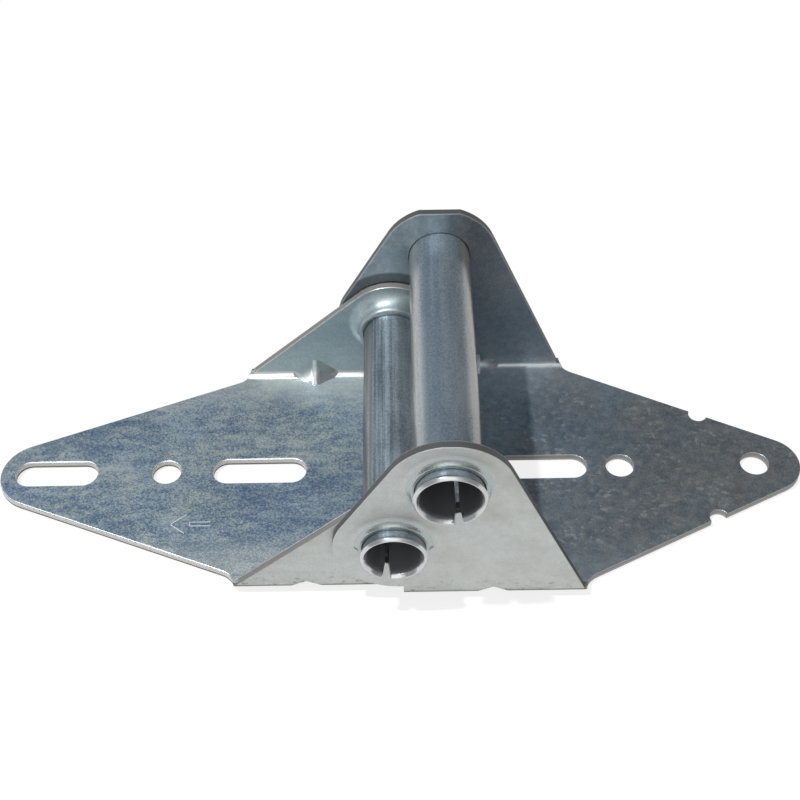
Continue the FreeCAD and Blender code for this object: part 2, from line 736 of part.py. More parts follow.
bodies = [
    roller_leaf(),
    pivot_leaf(),
    tube("roller_tube", roller_x, roller_z, roller_radius, dim.roller_seam_angle),
    tube("hinge_tube", hinge_x, hinge_z, hinge_radius, dim.hinge_seam_angle),
]
doc.recompute()

for item in doc.Objects:
    if "Invalid" in item.State or "Error" in item.State:
        raise RuntimeError(f"{item.Label} failed: {item.State}")
for body in bodies:
    if body.Shape.isNull() or not body.Shape.isValid() or len(body.Shape.Solids) != 1:
        raise RuntimeError(f"{body.Label} is not one valid solid")

os.makedirs("parts", exist_ok=True)
for body in bodies:
    body.Shape.exportStep(os.path.join("parts", body.Label + ".step"))
    print(body.Label, round(body.Shape.Volume, 1), body.Shape.BoundBox)
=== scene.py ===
import json
import math

import bmesh
import bpy
from mathutils import Matrix, Vector


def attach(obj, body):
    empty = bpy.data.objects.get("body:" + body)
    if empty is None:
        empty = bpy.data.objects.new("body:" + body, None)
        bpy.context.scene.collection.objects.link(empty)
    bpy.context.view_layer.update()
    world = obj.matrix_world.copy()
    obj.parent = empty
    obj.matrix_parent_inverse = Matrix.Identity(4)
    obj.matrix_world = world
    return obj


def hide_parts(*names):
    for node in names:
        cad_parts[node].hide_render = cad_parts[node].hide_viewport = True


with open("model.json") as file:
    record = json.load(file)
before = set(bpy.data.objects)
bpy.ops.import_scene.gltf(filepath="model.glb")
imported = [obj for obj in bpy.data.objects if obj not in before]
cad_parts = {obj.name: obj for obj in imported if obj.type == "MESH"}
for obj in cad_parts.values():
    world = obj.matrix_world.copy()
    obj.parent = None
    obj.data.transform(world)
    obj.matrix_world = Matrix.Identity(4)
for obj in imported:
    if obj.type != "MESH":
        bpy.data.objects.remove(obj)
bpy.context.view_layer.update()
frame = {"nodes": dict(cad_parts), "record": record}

# Garage door hinge of folded galvanised sheet. Sizes are in millimetres, and the scene is in metres.
MM = 0.001
SHEET = 1.9
BEND_INNER = 1.6
BEND_OUTER = BEND_INNER + SHEET
ROLLER_HALF = 35.6
PIVOT_HALF = 33.4
ROLLER_AXIS = (9.9, 38.8)
HINGE_AXIS = (-1.6, 19.8)
TUBE_WALL = 0.95
ROLLER_TUBE_RADIUS = 7.1
HINGE_TUBE_RADIUS = 6.65

# Camera that the photograph was taken with, fitted to the hinge's own sizes
FRAME_PIXELS = 800
FOCAL_PIXELS = 1347.4
SENSOR = 36.0
NEAREST_SEEN = 10.0
EYE = Vector((-0.087, -204.565, 248.757)) * MM
PITCH, YAW, ROLL = (math.radians(angle) for angle in (47.44, 0.078, -0.812))


# Node helpers

def opaque(red, green, blue):
    return red, green, blue, 1.0


WHITE = opaque(1.0, 1.0, 1.0)
MIDDLE = 0.5


def add_node(tree, kind, settings=None, sockets=None):
    """Add a node, set its options, and link or set its inputs by name or number."""
    node = tree.nodes.new(kind)
    for name, value in (settings or {}).items():
        setattr(node, name, value)
    for name, value in (sockets or {}).items():
        if isinstance(value, bpy.types.NodeSocket):
            tree.links.new(value, node.inputs[name])
        else:
            node.inputs[name].default_value = value
    return node


def calc(tree, operation, first, second=0.0, clamp=False):
    settings = {"operation": operation, "use_clamp": clamp}
    return add_node(tree, "ShaderNodeMath", settings, {0: first, 1: second}).outputs[0]


def product(tree, first, second):
    return calc(tree, "MULTIPLY", first, second)


def rest_of(tree, mask):
    """What a mask leaves free."""
    return calc(tree, "SUBTRACT", 1.0, mask)


def vector_calc(tree, operation, *inputs):
    """Outputs of a sum on vectors."""
    settings = {"operation": operation}
    return add_node(tree, "ShaderNodeVectorMath", settings, dict(enumerate(inputs))).outputs


def remap(tree, value, low, high, to_low=0.0, to_high=1.0, smooth=True):
    """Value stretched from one range to another, and held at its ends."""
    kind = "SMOOTHSTEP" if smooth else "LINEAR"
    sockets = {"Value": value, "From Min": low, "From Max": high, "To Min": to_low, "To Max": to_high}
    return add_node(tree, "ShaderNodeMapRange", {"interpolation_type": kind}, sockets).outputs[0]


def fade(tree, length, span, centre=0.0, most=1.0):
    """Mask that rises from 0 to most as a length goes through a span, which is given in millimetres."""
    return remap(tree, length, (centre + span[0]) * MM, (centre + span[1]) * MM, 0.0, most)


def blend_colours(tree, factor, first, second, mode="MIX"):
    settings = {"data_type": "RGBA", "blend_type": mode}
    return add_node(tree, "ShaderNodeMix", settings, {0: factor, 6: first, 7: second}).outputs[2]


def blend_values(tree, factor, first, second):
    settings = {"data_type": "FLOAT"}
    return add_node(tree, "ShaderNodeMix", settings, {0: factor, 2: first, 3: second}).outputs[0]


def object_place(tree):
    return add_node(tree, "ShaderNodeTexCoord").outputs["Object"]


def split_axes(tree, vector):
    return add_node(tree, "ShaderNodeSeparateXYZ", None, {0: vector}).outputs


def scaled_place(tree, x, y, z):
    """Object coordinates multiplied by three frequencies, in turns per metre."""
    rates = add_node(tree, "ShaderNodeCombineXYZ", None, {0: x, 1: y, 2: z}).outputs[0]
    return vector_calc(tree, "MULTIPLY", object_place(tree), rates)[0]


def even_place(tree, rate):
    return scaled_place(tree, rate, rate, rate)


def patches(tree, place, detail, rough, contrast, distortion=0.0, smooth=True):
    """Noise whose values between the two of the contrast are stretched to go from 0 to 1."""
    sockets = {"Vector": place, "Scale": 1.0, "Detail": detail, "Roughness": rough, "Distortion": distortion}
    clouds = add_node(tree, "ShaderNodeTexNoise", None, sockets).outputs[0]
    return remap(tree, clouds, *contrast, smooth=smooth)


def axis_distance(tree, place, axis):
    """Distance from a tube's axis, which runs along Y."""
    spoke = vector_calc(tree, "SUBTRACT", place, (axis[0] * MM, 0.0, axis[1] * MM))[0]
    flat = vector_calc(tree, "MULTIPLY", spoke, (1.0, 0.0, 1.0))[0]
    return vector_calc(tree, "LENGTH", flat)["Value"]


def new_group(name, inputs, outputs):
    group = bpy.data.node_groups.new(name, "ShaderNodeTree")
    for label, value in inputs.items():
        socket = group.interface.new_socket(label, in_out="INPUT", socket_type="NodeSocketFloat")
        socket.default_value = value
    for label in outputs:
        group.interface.new_socket(label, in_out="OUTPUT", socket_type="NodeSocketFloat")
    return group, group.nodes.new("NodeGroupInput").outputs, group.nodes.new("NodeGroupOutput").inputs


def put_out(group, result, values):
    for name, value in values.items():
        group.links.new(value, result[name])


def place_group(tree, group, values=None):
    return add_node(tree, "ShaderNodeGroup", {"node_tree": group}, values).outputs


# Effects that several finishes share

# Shares of the sheet's thickness, counted from its inside, over which each mask rises
CUT_FROM_INSIDE = (0.012, 0.05)
CUT_FROM_OUTSIDE = (0.97, 0.9)
RIM_SHARES = (0.17, 0.1)
INSIDE_SHARES = (0.3, 0.1)

# Lengths over which a mask rises: into the round of a bend, and from the plate's middle to its fold
BEND_SPAN = (0.1, 0.7)
FOLD_SPAN = (17.0, 5.0)


def make_sheet_side():
    """Place through the folded sheet, 0 inside the channel and 1 outside, with its cut edges and bends."""
    group, given, result = new_group("sheet_side", {"Half Width": PIVOT_HALF * MM},
                                     ["Side", "Cut", "Rim", "Bend", "Height", "Fold"])
    axes = split_axes(group, object_place(group))
    width = calc(group, "ABSOLUTE", axes[1])
    bend_y = calc(group, "SUBTRACT", given["Half Width"], BEND_OUTER * MM)
    out = calc(group, "MAXIMUM", calc(group, "SUBTRACT", width, bend_y), 0.0)
    down = calc(group, "MAXIMUM", calc(group, "SUBTRACT", BEND_OUTER * MM, axes[2]), 0.0)
    squares = calc(group, "ADD", product(group, out, out), product(group, down, down))
    away = calc(group, "SQRT", squares)
    side = remap(group, away, BEND_INNER * MM, BEND_OUTER * MM, smooth=False)
    cut = product(group, remap(group, side, *CUT_FROM_INSIDE), remap(group, side, *CUT_FROM_OUTSIDE))
    rim = product(group, cut, remap(group, side, *RIM_SHARES))
    bend = product(group, fade(group, out, BEND_SPAN), fade(group, down, BEND_SPAN))
    inner_bend = product(group, bend, remap(group, side, *INSIDE_SHARES))
    near_fold = fade(group, calc(group, "SUBTRACT", given["Half Width"], width), FOLD_SPAN)
    put_out(group, result, {"Side": side, "Cut": cut, "Rim": rim, "Bend": inner_bend, "Height": axes[2],
                            "Fold": near_fold})
    return group


RATE_NAMES = ("X Rate", "Y Rate", "Z Rate")
STREAK_SHARE = 0.6
BROAD_SHARE = 0.4
BROAD_RATES = (38.0, 75.0, 75.0)
GRAIN_RATE = 2300.0


def make_streaks():
    """Soft clouds drawn out along one axis over broader ones, and a fine grain."""
    rates = dict(zip(RATE_NAMES, (200.0, 600.0, 600.0)))
    group, given, result = new_group("zinc_streaks", rates, ["Cloud", "Grain"])
    drawn_out = scaled_place(group, *(given[name] for name in RATE_NAMES))
    streak = patches(group, drawn_out, detail=4.0, rough=0.6, contrast=(0.34, 0.66), distortion=0.15,
                     smooth=False)
    broad = patches(group, scaled_place(group, *BROAD_RATES), detail=2.0, rough=0.5, contrast=(0.3, 0.7),
                    smooth=False)
    grain = patches(group, even_place(group, GRAIN_RATE), detail=2.0, rough=0.6, contrast=(0.3, 0.7),
                    smooth=False)
    cloud = calc(group, "ADD", product(group, streak, STREAK_SHARE), product(group, broad, BROAD_SHARE))
    put_out(group, result, {"Cloud": cloud, "Grain": grain})
    return group


LINE_RATE_ALONG = 7.0
LINE_END = (1.0, 0.0)


def make_draw_lines():
    """Fine lines along the tube that fade out at its flared ends."""
    group, given, result = new_group("draw_lines", {"Rate": 1500.0, "Reach": 36.0 * MM}, ["Line"])
    place = scaled_place(group, given["Rate"], LINE_RATE_ALONG, given["Rate"])
    line = patches(group, place, detail=3.0, rough=0.65, contrast=(0.38, 0.62), smooth=False)
    along = calc(group, "ABSOLUTE", split_axes(group, object_place(group))[1])
    share = fade(group, calc(group, "SUBTRACT", along, given["Reach"]), LINE_END)
    centred = product(group, calc(group, "SUBTRACT", line, MIDDLE), share)
    put_out(group, result, {"Line": calc(group, "ADD", centred, MIDDLE)})
    return group


DRIFT_RATE = 90.0


def make_flecks():
    """Small pale flecks of spangle, gathered in drifts."""
    group, given, result = new_group("zinc_flecks", {"Rate": 900.0}, ["Fleck"])
    fleck = patches(group, even_place(group, given["Rate"]), detail=1.0, rough=0.5, contrast=(0.56, 0.72))
    drift = patches(group, even_place(group, DRIFT_RATE), detail=2.0, rough=0.6, contrast=(0.36, 0.6))
    put_out(group, result, {"Fleck": product(group, fleck, drift)})
    return group


# Each kind of scratch: its direction in degrees, and its rates along and across the line
SCRATCH_KINDS = ((14.0, 110.0, 3400.0), (-41.0, 150.0, 4200.0), (77.0, 180.0, 3800.0))
SCRATCH_PATCH_RATE = 75.0


def make_scuffs():
    """Short straight scratches that lie in several directions, few in any one place."""
    group, given, result = new_group("scuff_lines", {"Amount": 0.5}, ["Scuff"])
    total = 0.0
    for turn, along, across in SCRATCH_KINDS:
        sockets = {"Vector": object_place(group), "Rotation": (0.0, 0.0, math.radians(turn)),
                   "Scale": (along, across, across)}
        turned = add_node(group, "ShaderNodeMapping", None, sockets).outputs[0]
        line = patches(group, turned, detail=1.0, rough=0.4, contrast=(0.72, 0.8))
        spread = scaled_place(group, SCRATCH_PATCH_RATE, SCRATCH_PATCH_RATE, SCRATCH_PATCH_RATE + turn)
        patch = patches(group, spread, detail=1.0, rough=0.5, contrast=(0.56, 0.66))
        total = calc(group, "MAXIMUM", total, product(group, line, patch))
    put_out(group, result, {"Scuff": product(group, total, given["Amount"])})
    return group


SPECK_RATES = (620.0, 620.0, 900.0)
STAIN_RATES = (240.0, 240.0, 420.0)
SMUDGE_RATE = 60.0


def make_grime():
    """Dark specks and stains low on the folded ears, and broad faint smudges."""
    group, given, result = new_group("grime", {"Height": 5.0 * MM}, ["Speck", "Smudge"])
    height = split_axes(group, object_place(group))[2]
    low = remap(group, height, given["Height"], 0.0)
    speck = patches(group, scaled_place(group, *SPECK_RATES), detail=2.0, rough=0.6, contrast=(0.57, 0.69))
    stain = patches(group, scaled_place(group, *STAIN_RATES), detail=3.0, rough=0.6, contrast=(0.42, 0.62))
    smudge = patches(group, even_place(group, SMUDGE_RATE), detail=4.0, rough=0.65, contrast=(0.45, 0.75))
    smudge = calc(group, "MAXIMUM", smudge, product(group, low, stain))
    put_out(group, result, {"Speck": product(group, low, speck), "Smudge": smudge})
    return group


def make_tints():
    """Broad soft drift from one cast of the zinc to another."""
    group, given, result = new_group("zinc_tints", {"Rate": 55.0}, ["Tint"])
    tint = patches(group, even_place(group, given["Rate"]), detail=3.0, rough=0.55, contrast=(0.36, 0.64),
                   distortion=0.6)
    put_out(group, result, {"Tint": tint})
    return group


PROUD_SPAN = (0.03, 0.35)


def make_proud():
    """Metal that stands out past a plane across the hinge, as drawn collars and flared lips do."""
    group, given, result = new_group("proud_metal", {"Plane": ROLLER_HALF * MM}, ["Proud"])
    width = calc(group, "ABSOLUTE", split_axes(group, object_place(group))[1])
    put_out(group, result, {"Proud": fade(group, calc(group, "SUBTRACT", width, given["Plane"]), PROUD_SPAN)})
    return group


sheet_side = make_sheet_side()
zinc_streaks = make_streaks()
draw_lines = make_draw_lines()
zinc_flecks = make_flecks()
scuff_lines = make_scuffs()
grime = make_grime()
zinc_tints = make_tints()
proud_metal = make_proud()


# Finishes

SCRATCH = opaque(0.66, 0.68, 0.69)
# Colour of the dirt specks, also used for the painted shade along the lower edge
DIRT_AND_SHADE = opaque(0.09, 0.085, 0.08)
# Painted highlight: a near-white colour laid on the bends, the dart ridges and the rolled rims
PAINTED_HIGHLIGHT = opaque(0.86, 0.88, 0.88)
BRIGHT_ROUGH = 0.26
# Collars and metal standing out past the outside: smoother burnished zinc, with a darker colour that stands
# for their dark side reflections, which is painted reflection
BURNISHED_AND_SHADED = opaque(0.4, 0.44, 0.44)
BURNISHED_ROUGH = 0.22
CUT_METALLIC = 0.3
CUT_ROUGH = 0.6
RELIEF_STRENGTH = 0.35
RELIEF_HEIGHT = 0.05


def new_finish(name, metallic):
    material = bpy.data.materials.new(name)
    material.use_nodes = True
    tree = material.node_tree
    shader = tree.nodes["Principled BSDF"]
    shader.inputs["Metallic"].default_value = metallic
    return material, tree, shader


def finish_surface(tree, shader, colour, roughness, height):
    tree.links.new(colour, shader.inputs["Base Color"])
    tree.links.new(roughness, shader.inputs["Roughness"])
    sockets = {"Strength": RELIEF_STRENGTH, "Distance": RELIEF_HEIGHT * MM, "Height": height}
    relief = add_node(tree, "ShaderNodeBump", None, sockets).outputs[0]
    tree.links.new(relief, shader.inputs["Normal"])


def speckled(tree, cloud, grain, share):
    """Cloud with some of the fine grain added to it."""
    centred = calc(tree, "SUBTRACT", grain, MIDDLE)
    return calc(tree, "ADD", cloud, product(tree, centred, share), clamp=True)


# Finish of the folded leaves

# Outside of both leaves: dark and pale zinc, paler than the inside partly as the zinc's own tone and partly
# as painted light, and the colour of its smudges
OUTER_DARK = opaque(0.48, 0.505, 0.5)
OUTER_PALE = opaque(0.6, 0.62, 0.605)
OUTER_SMUDGE = opaque(0.38, 0.36, 0.33)
OUTER_SHARES = (0.45, 0.6)
SMUDGE_SHARE = 0.5
SPECK_SHARE = 0.8
GRIME_HEIGHT = 9.0
FLECK_RATE = 850.0

# Heights over which a mask rises: painted shade on the lower edge of the outside, the ear's paler colour,
# which is partly painted light, and the ear's cut edge
LOW_SHADE_SPAN = (3.1, 2.1)
LOW_SHADE_SHARE = 0.9
EAR_SPAN = (2.5, 6.0)
EAR_SHARE = 0.8
EAR_CUT_SPAN = (1.9, 3.4)

# Places along the hinge over which painted shade darkens an ear to the right, and a plate changes to its tip
EAR_SHADE_SPAN = (2.0, 16.0)
TIP_SPAN = (35.0, 80.0)

# Rings round the hinge tube, by their radius: painted shade in the gap beside the other leaf's ear, and
# painted light beyond it
GAP_SHADE = opaque(0.1, 0.125, 0.145)
GAP_SHADE_SPAN = (14.5, 13.7)
RING_LIGHT_SPAN = (16.8, 15.2)
RING_LIGHT_SHARE = 0.5

# Painted highlight on the ridge of a pressed dart: its half width, and the heights where it starts and ends
RIDGE_SPAN = (1.3, 0.8)
RIDGE_FOOT_SPAN = (1.98, 2.15)
RIDGE_TOP_SPAN = (5.8, 4.2)

# Each leaf: its size, its colours, and how far each effect goes
LEAF_LOOKS = {
    "pivot_leaf": {
        "half": PIVOT_HALF,
        "gusset": -21.0,
        "plate_dark": opaque(0.145, 0.225, 0.35),
        "plate_pale": opaque(0.44, 0.5, 0.505),
        "pale_and_lit": opaque(0.62, 0.66, 0.64),
        "tints": (opaque(0.92, 0.96, 1.0), opaque(1.06, 1.04, 0.98)),
        "tip_tint": WHITE,
        "ear_dark": opaque(0.35, 0.43, 0.46),
        "ear_pale": opaque(0.49, 0.58, 0.59),
        "ear_right_shade": WHITE,
        "cut_inner": opaque(0.55, 0.55, 0.54),
        "cut_outer": opaque(0.12, 0.115, 0.11),
        "cut_shares": (0.6, 0.75),
        "ear_cut": opaque(0.22, 0.213, 0.207),
        "streak_rates": (160.0, 430.0, 430.0),
        "grain": 1.1,
        "flecks": 0.3,
        "scuffs": 0.2,
        "fold_light": 0.6,
        "ring_light_and_shade": 0.0,
        "bend_highlight": 0.8,
        "rim_glint": 1.0,
        "rough": (0.4, 0.5),
        "outer_rough": 0.12,
        "metallic": 0.82,
    },
    "roller_leaf": {
        "half": ROLLER_HALF,
        "gusset": 20.0,
        "plate_dark": opaque(0.17, 0.22, 0.27),
        "plate_pale": opaque(0.33, 0.36, 0.38),
        "pale_and_lit": opaque(0.6, 0.67, 0.71),
        "tints": (opaque(0.92, 0.99, 1.05), opaque(1.0, 0.98, 0.98)),
        "tip_tint": opaque(1.0, 0.92, 0.84),
        "ear_dark": opaque(0.45, 0.54, 0.58),
        "ear_pale": opaque(0.67, 0.76, 0.79),
        "ear_right_shade": opaque(0.37, 0.355, 0.375),
        "cut_inner": opaque(0.25, 0.245, 0.24),
        "cut_outer": opaque(0.34, 0.33, 0.32),
        "cut_shares": (0.5, 0.75),
        "ear_cut": opaque(0.09, 0.089, 0.09),
        "streak_rates": (420.0, 420.0, 420.0),
        "grain": 0.8,
        "flecks": 0.48,
        "scuffs": 0.35,
        "fold_light": 0.22,
        "ring_light_and_shade": 0.85,
        "bend_highlight": 0.16,
        "rim_glint": 0.2,
        "rough": (0.28, 0.36),
        "outer_rough": 0.24,
        "metallic": 0.78,
    },
}


def ridge_highlight_mask(tree, look, along, height, outer):
    """Ridge of the dart pressed across a bend, on the inside of the channel, where a highlight is painted."""
    from_ridge = calc(tree, "ABSOLUTE", calc(tree, "SUBTRACT", along, look["gusset"] * MM))
    low = product(tree, fade(tree, height, RIDGE_FOOT_SPAN), fade(tree, height, RIDGE_TOP_SPAN))
    ridge = product(tree, fade(tree, from_ridge, RIDGE_SPAN), low)
    return product(tree, ridge, rest_of(tree, outer))


def leaf_masks(tree, look):
    """All that varies over a leaf, by name."""
    masks = {}
    half = look["half"] * MM
    for kind in (place_group(tree, sheet_side, {"Half Width": half}),
                 place_group(tree, zinc_tints),
                 place_group(tree, proud_metal, {"Plane": half}),
                 place_group(tree, zinc_streaks, dict(zip(RATE_NAMES, look["streak_rates"]))),
                 place_group(tree, zinc_flecks, {"Rate": FLECK_RATE}),
                 place_group(tree, scuff_lines, {"Amount": look["scuffs"]}),
                 place_group(tree, grime, {"Height": GRIME_HEIGHT * MM})):
        masks.update({socket.name: socket for socket in kind})
    place = object_place(tree)
    masks["Along"] = split_axes(tree, place)[0]
    masks["From Hinge"] = axis_distance(tree, place, HINGE_AXIS)
    masks["Mottle"] = speckled(tree, masks["Cloud"], masks["Grain"], look["grain"])
    masks["Outer"] = remap(tree, masks["Side"], *OUTER_SHARES)
    ridge = ridge_highlight_mask(tree, look, masks["Along"], masks["Height"], masks["Outer"])
    masks["Bend Highlight"] = product(tree, calc(tree, "MAXIMUM", masks["Bend"], ridge), look["bend_highlight"])
    masks["Rim Glint"] = product(tree, masks["Rim"], look["rim_glint"])
    return masks


def plate_colour(tree, look, masks):
    colour = blend_colours(tree, masks["Mottle"], look["plate_dark"], look["plate_pale"])
    colour = blend_colours(tree, product(tree, masks["Fleck"], look["flecks"]), colour, look["pale_and_lit"])
    tint = blend_colours(tree, masks["Tint"], *look["tints"])
    colour = blend_colours(tree, 1.0, colour, tint, "MULTIPLY")
    # Paler towards the fold: partly the zinc's own tone, partly painted light where the sheet near the fold
    # catches the sun
    colour = blend_colours(tree, product(tree, masks["Fold"], look["fold_light"]), colour, look["pale_and_lit"])
    return blend_colours(tree, fade(tree, masks["Along"], TIP_SPAN), colour, look["tip_tint"], "MULTIPLY")


def ear_colour(tree, look, masks):
    """Inside of the ears: paler than the plate, partly as painted light, with painted shade to the right and
    painted light and shade in rings round the hinge tube.
    """
    # Painted light in a ring past the other leaf's ear, and painted shade in the gap just beside it
    painted_ring_light = fade(tree, masks["From Hinge"], RING_LIGHT_SPAN, most=look["ring_light_and_shade"])
    painted_gap_shade = fade(tree, masks["From Hinge"], GAP_SHADE_SPAN, most=look["ring_light_and_shade"])
    # Painted shade: the ear darkens to the right, where the roller tube shades it
    right_shade = fade(tree, masks["Along"], EAR_SHADE_SPAN)
    colour = blend_colours(tree, masks["Mottle"], look["ear_dark"], look["ear_pale"])
    colour = blend_colours(tree, right_shade, colour, look["ear_right_shade"], "MULTIPLY")
    colour = blend_colours(tree, product(tree, painted_ring_light, RING_LIGHT_SHARE), colour, look["pale_and_lit"])
    return blend_colours(tree, painted_gap_shade, colour, GAP_SHADE)


def inner_colour(tree, look, masks):
    # The upright ears take their own paler colours: partly the zinc's own tone, partly painted light
    upright = fade(tree, masks["Height"], EAR_SPAN, most=EAR_SHARE)
    colour = blend_colours(tree, upright, plate_colour(tree, look, masks), ear_colour(tree, look, masks))
    # Painted highlight along the inside of the bends and on the dart's ridge
    return blend_colours(tree, masks["Bend Highlight"], colour, PAINTED_HIGHLIGHT)


def outer_colour(tree, masks):
    colour = blend_colours(tree, masks["Mottle"], OUTER_DARK, OUTER_PALE)
    colour = blend_colours(tree, product(tree, masks["Smudge"], SMUDGE_SHARE), colour, OUTER_SMUDGE)
    colour = blend_colours(tree, product(tree, masks["Speck"], SPECK_SHARE), colour, DIRT_AND_SHADE)
    # Painted shade: the outside goes dark over its lowest few millimetres, the plates' undersides included
    low_shade = fade(tree, masks["Height"], LOW_SHADE_SPAN, most=LOW_SHADE_SHARE)
    colour = blend_colours(tree, low_shade, colour, DIRT_AND_SHADE)
    # Collars: burnished, and painted darker as painted reflection
    return blend_colours(tree, masks["Proud"], colour, BURNISHED_AND_SHADED)


def cut_colour(tree, look, masks):
    through = remap(tree, masks["Side"], *look["cut_shares"])
    colour = blend_colours(tree, through, look["cut_inner"], look["cut_outer"])
    return blend_colours(tree, fade(tree, masks["Height"], EAR_CUT_SPAN), colour, look["ear_cut"])


def leaf_roughness(tree, look, masks):
    roughness = remap(tree, masks["Mottle"], 0.0, 1.0, *look["rough"], smooth=False)
    roughness = calc(tree, "ADD", roughness, product(tree, masks["Outer"], look["outer_rough"]))
    for mask, value in (("Proud", BURNISHED_ROUGH), ("Bend Highlight", BRIGHT_ROUGH), ("Cut", CUT_ROUGH),
                        ("Rim Glint", BRIGHT_ROUGH)):
        roughness = blend_values(tree, masks[mask], roughness, value)
    return roughness


def leaf_zinc(name, look):
    """Galvanised sheet: one finish inside the channel, a paler one outside that is partly painted light, bare
    steel on the cut edges.
    """
    material, tree, shader = new_finish(name, look["metallic"])
    masks = leaf_masks(tree, look)
    colour = blend_colours(tree, masks["Outer"], inner_colour(tree, look, masks), outer_colour(tree, masks))
    colour = blend_colours(tree, masks["Cut"], colour, cut_colour(tree, look, masks))
    # Painted glint: the rolled rims of the cut edges take the near-white highlight colour
    colour = blend_colours(tree, masks["Rim Glint"], colour, PAINTED_HIGHLIGHT)
    colour = blend_colours(tree, masks["Scuff"], colour, SCRATCH)
    metal = blend_values(tree, masks["Cut"], look["metallic"], CUT_METALLIC)
    metal = blend_values(tree, masks["Rim Glint"], metal, look["metallic"])
    tree.links.new(metal, shader.inputs["Metallic"])
    finish_surface(tree, shader, colour, leaf_roughness(tree, look, masks), masks["Grain"])
    return material


# Finish of the tubes

TUBE_METALLIC = 0.7
TUBE_SCUFFS = 0.3
TUBE_STREAK_RATES = (420.0, 45.0, 420.0)
# Painted reflection colours: warm on a tube's sides, blue on its crown
SIDE_REFLECTION_TINT = opaque(1.02, 0.97, 0.92)
CROWN_REFLECTION_TINT = opaque(0.98, 1.08, 1.18)
SHADED_TINT = opaque(0.78, 0.74, 0.69)
# Flared lips: polished steel, made paler to stand for their highlight, which is partly painted highlight
LIP = opaque(0.58, 0.59, 0.595)
LIP_ROUGH = 0.18
LIP_PLANE = 38.7
BORE = opaque(0.24, 0.25, 0.265)
BORE_EXTRA_ROUGH = 0.25
BORE_SPAN = (0.35, 0.1)

# Places across a tube, from its axis, over which a mask rises
LEFT_HALF_SPAN = (2.0, -0.5)
LEFT_SHADE_SPAN = (-2.5, -5.0)
FAR_RIGHT_SPAN = (3.0, 6.0)
CROWN_SHARES = (0.5, 1.0)

# Each tube: its size, its colours, and how far each effect goes
TUBE_LOOKS = {
    "roller_tube": {
        "axis": ROLLER_AXIS,
        "bore": ROLLER_TUBE_RADIUS - TUBE_WALL,
        "dark": opaque(0.23, 0.265, 0.29),
        "pale": opaque(0.4, 0.42, 0.425),
        "lines": 0.15,
        "grain": 1.0,
        "left_shade": 0.0,
        "shaded": 1.0,
        "rough": (0.18, 0.24),
    },
    "hinge_tube": {
        "axis": HINGE_AXIS,
        "bore": HINGE_TUBE_RADIUS - TUBE_WALL,
        "dark": opaque(0.165, 0.185, 0.195),
        "pale": opaque(0.46, 0.485, 0.495),
        "lines": 0.7,
        "grain": 0.6,
        "left_shade": 0.6,
        "shaded": 0.0,
        "rough": (0.34, 0.44),
    },
}


def tube_zinc(name, look):
    """Galvanised tube, streaked along its length as it was drawn, matt inside its bore, and tinted across it
    by painted reflection and painted shade.
    """
    material, tree, shader = new_finish(name, TUBE_METALLIC)
    streak = place_group(tree, zinc_streaks, dict(zip(RATE_NAMES, TUBE_STREAK_RATES)))
    scuff = place_group(tree, scuff_lines, {"Amount": TUBE_SCUFFS})["Scuff"]
    lip = place_group(tree, proud_metal, {"Plane": LIP_PLANE * MM})["Proud"]
    place = object_place(tree)
    axes = split_axes(tree, place)
    centre_x, centre_z = look["axis"]
    left_half = fade(tree, axes[0], LEFT_HALF_SPAN, centre_x)
    painted_left_shade = fade(tree, axes[0], LEFT_SHADE_SPAN, centre_x, look["left_shade"])
    far_right = fade(tree, axes[0], FAR_RIGHT_SPAN, centre_x, look["shaded"])
    crown_reflection = fade(tree, axes[2], [share * look["bore"] for share in CROWN_SHARES], centre_z)
    inside = fade(tree, axis_distance(tree, place, look["axis"]), BORE_SPAN, look["bore"])
    inside = product(tree, inside, rest_of(tree, lip))
    line = blend_values(tree, left_half, MIDDLE, place_group(tree, draw_lines)["Line"])
    mottle = speckled(tree, streak["Cloud"], streak["Grain"], look["grain"])
    mottle = speckled(tree, mottle, line, look["lines"])
    # Painted shade: the hinge tube's far left is darkened where it would show the bright plate's reflection
    mottle = calc(tree, "SUBTRACT", mottle, painted_left_shade, clamp=True)
    colour = blend_colours(tree, mottle, look["dark"], look["pale"])
    # Painted reflection: the sides tinted warm and the crown blue, as floor and sky would colour them
    tint = blend_colours(tree, crown_reflection, SIDE_REFLECTION_TINT, CROWN_REFLECTION_TINT)
    colour = blend_colours(tree, 1.0, colour, tint, "MULTIPLY")
    colour = blend_colours(tree, far_right, colour, SHADED_TINT, "MULTIPLY")
    colour = blend_colours(tree, scuff, colour, SCRATCH)
    colour = blend_colours(tree, lip, colour, LIP)
    colour = blend_colours(tree, inside, colour, BORE)
    roughness = remap(tree, mottle, 0.0, 1.0, *look["rough"], smooth=False)
    roughness = calc(tree, "ADD", roughness, product(tree, inside, BORE_EXTRA_ROUGH))
    roughness = blend_values(tree, lip, roughness, LIP_ROUGH)
    finish_surface(tree, shader, colour, roughness, mottle)
    return material


finishes = {node: leaf_zinc(node + "_zinc", look) for node, look in LEAF_LOOKS.items()}
finishes.update({node: tube_zinc(node + "_zinc", look) for node, look in TUBE_LOOKS.items()})
carriers = {node: body for body, nodes in frame["record"]["behaviour"]["bodies"].items() for node in nodes}


# Pieces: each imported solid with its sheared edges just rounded

ROLLED_WIDTH = 0.4
PLAIN_WIDTH = 0.18
TUBE_WIDTH = 0.15
ROUND_STEPS = 3
MERGE_DISTANCE = 0.002
FLAT_ANGLE = math.radians(0.4)
SHARP_ANGLE = math.radians(50.0)
CREASE_ANGLE = math.radians(20.0)
FACE_WEIGHT = 80

# How far a face's normal follows the sheet's: at most, if it is cut through it, and at least, if it is on it
CUT_FACE = 0.35
SHEET_FACE = 0.9

